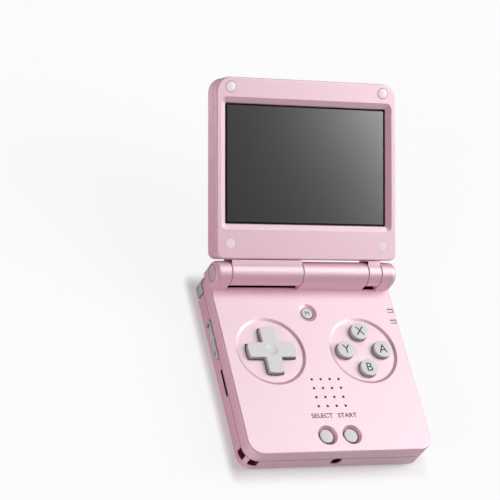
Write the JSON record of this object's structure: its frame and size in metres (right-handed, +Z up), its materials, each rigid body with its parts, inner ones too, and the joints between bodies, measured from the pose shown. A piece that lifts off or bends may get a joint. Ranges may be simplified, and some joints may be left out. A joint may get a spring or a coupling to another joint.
{
  "type": "clamshell handheld game console",
  "caption": "Folding pocket game console: a base with cross pad, round buttons and shoulder keys, and a hinged lid with a wide screen.",
  "frame": {"origin": "centre of the base's footprint, on its flat underside", "axes": "+X to the player's right, +Y from the front edge to the hinge, +Z up out of the button face"},
  "size_m": [0.0866, 0.1544, 0.0646],
  "materials": {
    "pink_shell": "satin pearl",
    "grey_key": "fine matte",
    "clear_guide": "frosted",
    "rubber_sheet": "matte",
    "bumper": "glossy",
    "steel": "plain",
    "chrome": "polished",
    "black_plastic": "matte",
    "circuit_board": "solder mask",
    "battery_foil": "foil",
    "ribbon": "film",
    "screen": "polished"
  },
  "bodies": {
    "base": {"base_top_shell": "pink_shell", "base_bottom_shell": "pink_shell", "hinge_cover_left": "pink_shell", "hinge_cover_right": "pink_shell", "mainboard": "circuit_board", "battery": "battery_foil", "speaker": "black_plastic", "dpad_membrane": "rubber_sheet", "face_button_membrane": "rubber_sheet", "select_start_membrane": "rubber_sheet", "volume_switch_board": "circuit_board", "side_switch_board": "circuit_board", "shoulder_board_left": "circuit_board", "shoulder_board_right": "circuit_board", "usb_c_port": "steel", "mini_hdmi_port": "steel", "audio_jack": "black_plastic", "card_socket_left": "steel", "card_socket_right": "steel", "indicator_power": "clear_guide", "indicator_charge": "clear_guide", "base_screw_rear_left": "steel", "base_screw_rear_right": "steel", "base_screw_front_left": "steel", "base_screw_front_right": "steel", "hinge_click_module": "steel", "hinge_pin": "steel"},
    "lid": {"lid_back_shell": "pink_shell", "lid_front_frame": "pink_shell", "screen_glass": "screen", "display_panel": "black_plastic", "bumper_far_left": "bumper", "bumper_far_right": "bumper", "bumper_near_left": "bumper", "bumper_near_right": "bumper", "lid_screw_far_left": "steel", "lid_screw_far_right": "steel", "lid_screw_near_left": "steel", "lid_screw_near_right": "steel", "badge_ring": "chrome", "badge_plate": "black_plastic", "hinge_cam_shaft": "steel", "display_ribbon": "ribbon"},
    "dpad_rocker": {"dpad_pivot": "black_plastic"},
    "dpad": {"dpad": "grey_key"},
    "button_a": {"button_a": "grey_key"},
    "button_b": {"button_b": "grey_key"},
    "button_x": {"button_x": "grey_key"},
    "button_y": {"button_y": "grey_key"},
    "button_menu": {"button_menu": "grey_key"},
    "button_select": {"button_select": "grey_key"},
    "button_start": {"button_start": "grey_key"},
    "volume_rocker": {"volume_rocker": "grey_key"},
    "power_button": {"power_button": "grey_key"},
    "reset_button": {"reset_button": "grey_key"},
    "shoulder_l1": {"shoulder_l1": "grey_key"},
    "shoulder_l2": {"shoulder_l2": "grey_key"},
    "shoulder_r1": {"shoulder_r1": "grey_key"},
    "shoulder_r2": {"shoulder_r2": "grey_key"}
  },
  "joints": [
    {"name": "lid_hinge", "type": "hinge", "parent": "base", "child": "lid", "pos_m": [0, 0.0383, 0.02003], "axis": [1, 0, 0], "range_deg": [0, 149.8]},
    {"name": "dpad_tilt_up_down", "type": "hinge", "parent": "base", "child": "dpad_rocker", "pos_m": [-0.02172, 0.00385, 0.0106], "axis": [1, 0, 0], "range_deg": [-3, 3], "stiffness_Nm_per_rad": 0.1},
    {"name": "dpad_tilt_left_right", "type": "hinge", "parent": "dpad_rocker", "child": "dpad", "pos_m": [-0.02172, 0.00385, 0.0106], "axis": [0, 1, 0], "range_deg": [-3, 3], "stiffness_Nm_per_rad": 0.1},
    {"name": "press_a", "type": "slide", "parent": "base", "child": "button_a", "axis": [0, 0, -1], "range_m": [0, 0.0008], "stiffness_N_per_m": 600},
    {"name": "press_b", "type": "slide", "parent": "base", "child": "button_b", "axis": [0, 0, -1], "range_m": [0, 0.0008], "stiffness_N_per_m": 600},
    {"name": "press_x", "type": "slide", "parent": "base", "child": "button_x", "axis": [0, 0, -1], "range_m": [0, 0.0008], "stiffness_N_per_m": 600},
    {"name": "press_y", "type": "slide", "parent": "base", "child": "button_y", "axis": [0, 0, -1], "range_m": [0, 0.0008], "stiffness_N_per_m": 600},
    {"name": "press_menu", "type": "slide", "parent": "base", "child": "button_menu", "axis": [0, 0, -1], "range_m": [0, 0.0006], "stiffness_N_per_m": 600},
    {"name": "press_select", "type": "slide", "parent": "base", "child": "button_select", "axis": [0, 0, -1], "range_m": [0, 0.0005], "stiffness_N_per_m": 600},
    {"name": "press_start", "type": "slide", "parent": "base", "child": "button_start", "axis": [0, 0, -1], "range_m": [0, 0.0005], "stiffness_N_per_m": 600},
    {"name": "rock_volume", "type": "hinge", "parent": "base", "child": "volume_rocker", "pos_m": [-0.041, 0.0138, 0.00705], "axis": [0, 0, 1], "range_deg": [-3, 3], "stiffness_Nm_per_rad": 0.1},
    {"name": "press_power", "type": "slide", "parent": "base", "child": "power_button", "axis": [-1, 0, 0], "range_m": [0, 0.0005], "stiffness_N_per_m": 800},
    {"name": "press_reset", "type": "slide", "parent": "base", "child": "reset_button", "axis": [-1, 0, 0], "range_m": [0, 0.0005], "stiffness_N_per_m": 800},
    {"name": "press_l1", "type": "slide", "parent": "base", "child": "shoulder_l1", "axis": [0, -1, 0], "range_m": [0, 0.001], "stiffness_N_per_m": 800},
    {"name": "press_l2", "type": "slide", "parent": "base", "child": "shoulder_l2", "axis": [0, -1, 0], "range_m": [0, 0.001], "stiffness_N_per_m": 800},
    {"name": "press_r1", "type": "slide", "parent": "base", "child": "shoulder_r1", "axis": [0, -1, 0], "range_m": [0, 0.001], "stiffness_N_per_m": 800},
    {"name": "press_r2", "type": "slide", "parent": "base", "child": "shoulder_r2", "axis": [0, -1, 0], "range_m": [0, 0.001], "stiffness_N_per_m": 800}
  ]
}
